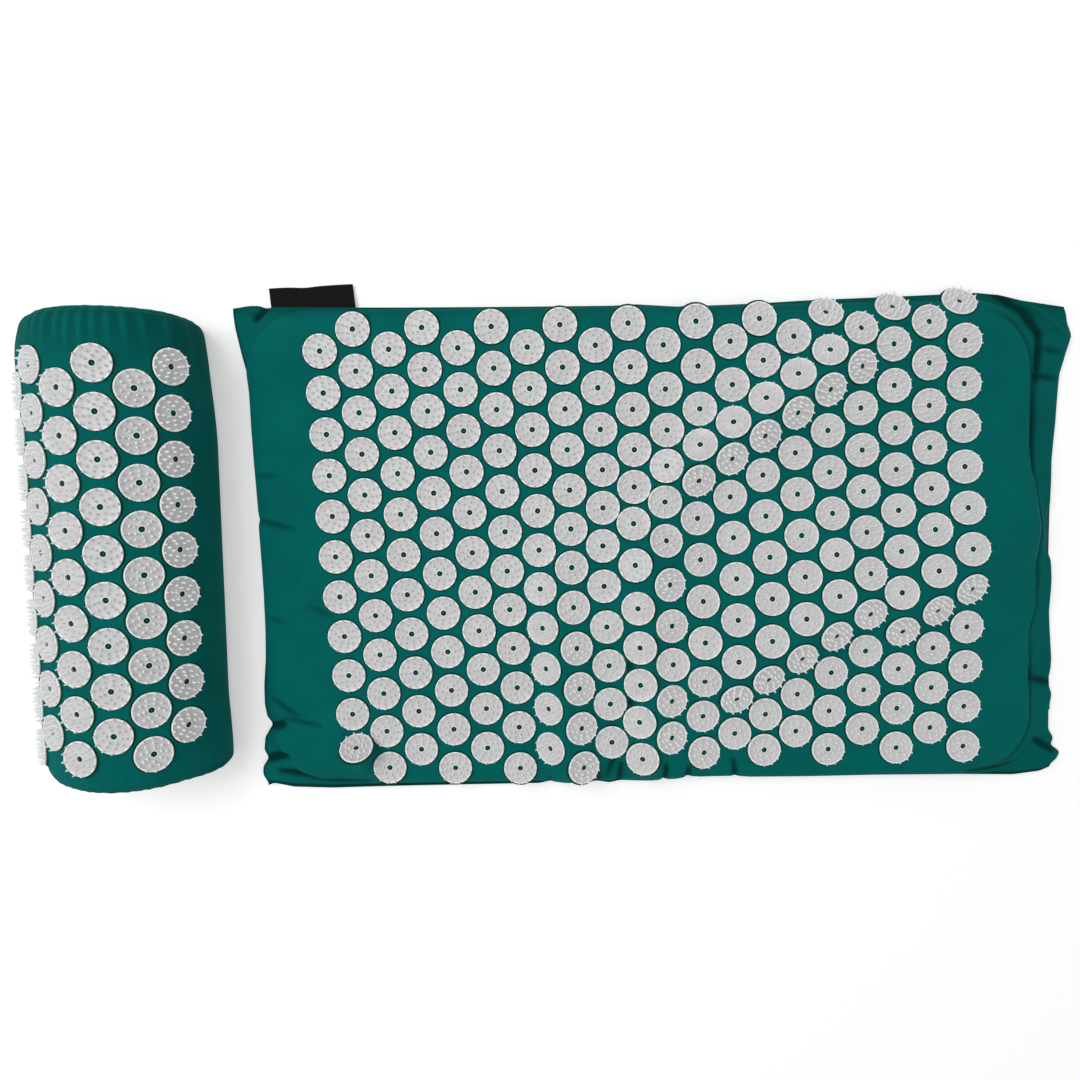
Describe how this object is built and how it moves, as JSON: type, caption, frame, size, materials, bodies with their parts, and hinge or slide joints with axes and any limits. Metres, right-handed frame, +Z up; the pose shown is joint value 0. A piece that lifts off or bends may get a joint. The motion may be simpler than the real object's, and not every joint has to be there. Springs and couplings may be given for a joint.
{
  "type": "acupressure mat with neck pillow",
  "caption": "Acupressure mat and round-backed neck pillow: foam cores in sewn cotton covers set with rows of spiked plastic discs.",
  "frame": {"origin": "on the floor, under the middle of the mat's flat underside", "axes": "+X along the mat's length, away from the pillow and towards the mat's mouth; +Y across it, towards the edge with the label; +Z up"},
  "size_m": [0.8458, 0.424, 0.1031],
  "materials": {
    "cotton": "matte",
    "foam": "matte",
    "disc": "satin",
    "label": "satin",
    "loop_tape": "matte",
    "hook_tape": "matte",
    "zip_tape": "matte",
    "zip_coil": "satin",
    "metal": "satin"
  },
  "bodies": {
    "mat": {"mat_foam_core": "foam", "mat_cover_top": "cotton", "mat_cover_bottom": "cotton", "mat_loop_tape": "loop_tape", "mat_label": "label", "mat_discs_01": "disc", "mat_discs_02": "disc", "mat_discs_03": "disc", "mat_discs_04": "disc", "mat_discs_05": "disc", "mat_discs_06": "disc", "mat_discs_07": "disc", "mat_discs_08": "disc", "mat_discs_09": "disc", "mat_discs_10": "disc", "mat_discs_11": "disc", "mat_discs_12": "disc", "mat_discs_13": "disc", "mat_discs_14": "disc", "mat_discs_15": "disc", "mat_discs_16": "disc", "mat_discs_17": "disc", "mat_discs_18": "disc", "mat_discs_19": "disc", "mat_discs_20": "disc"},
    "mouth_flap": {"mat_mouth_flap": "cotton", "mat_hook_tape": "hook_tape"},
    "pillow": {"pillow_foam_core": "foam", "pillow_cover_wrap": "cotton", "pillow_cover_base": "cotton", "pillow_end_panel_far": "cotton", "pillow_end_panel_near": "cotton", "pillow_zip_tape_upper": "zip_tape", "pillow_zip_tape_lower": "zip_tape", "pillow_zip_teeth": "zip_coil", "pillow_zip_stop_far": "metal", "pillow_zip_stop_near": "metal", "pillow_discs_1": "disc", "pillow_discs_2": "disc", "pillow_discs_3": "disc", "pillow_discs_4": "disc", "pillow_discs_5": "disc", "pillow_discs_6": "disc"},
    "zip_slider": {"pillow_zip_slider": "metal"},
    "zip_pull": {"pillow_zip_pull": "metal"}
  },
  "joints": [
    {"name": "mouth_flap_fold", "type": "hinge", "parent": "mat", "child": "mouth_flap", "pos_m": [0.3093, -0.00356, 0.01006], "axis": [0.015, -0.9999, 0], "range_deg": [0, 75]},
    {"name": "pillow_lift", "type": "slide", "parent": "mat", "child": "pillow", "axis": [0, 0, 1], "range_m": [0, 0.25]},
    {"name": "zip_travel", "type": "slide", "parent": "pillow", "child": "zip_slider", "axis": [-0.0209, -0.9998, 0], "range_m": [0, 0.304]},
    {"name": "zip_pull_swing", "type": "hinge", "parent": "zip_slider", "child": "zip_pull", "pos_m": [-0.49687, 0.16649, 0.01168], "axis": [0.1931, -0.004, -0.9812], "range_deg": [0, 125]}
  ]
}
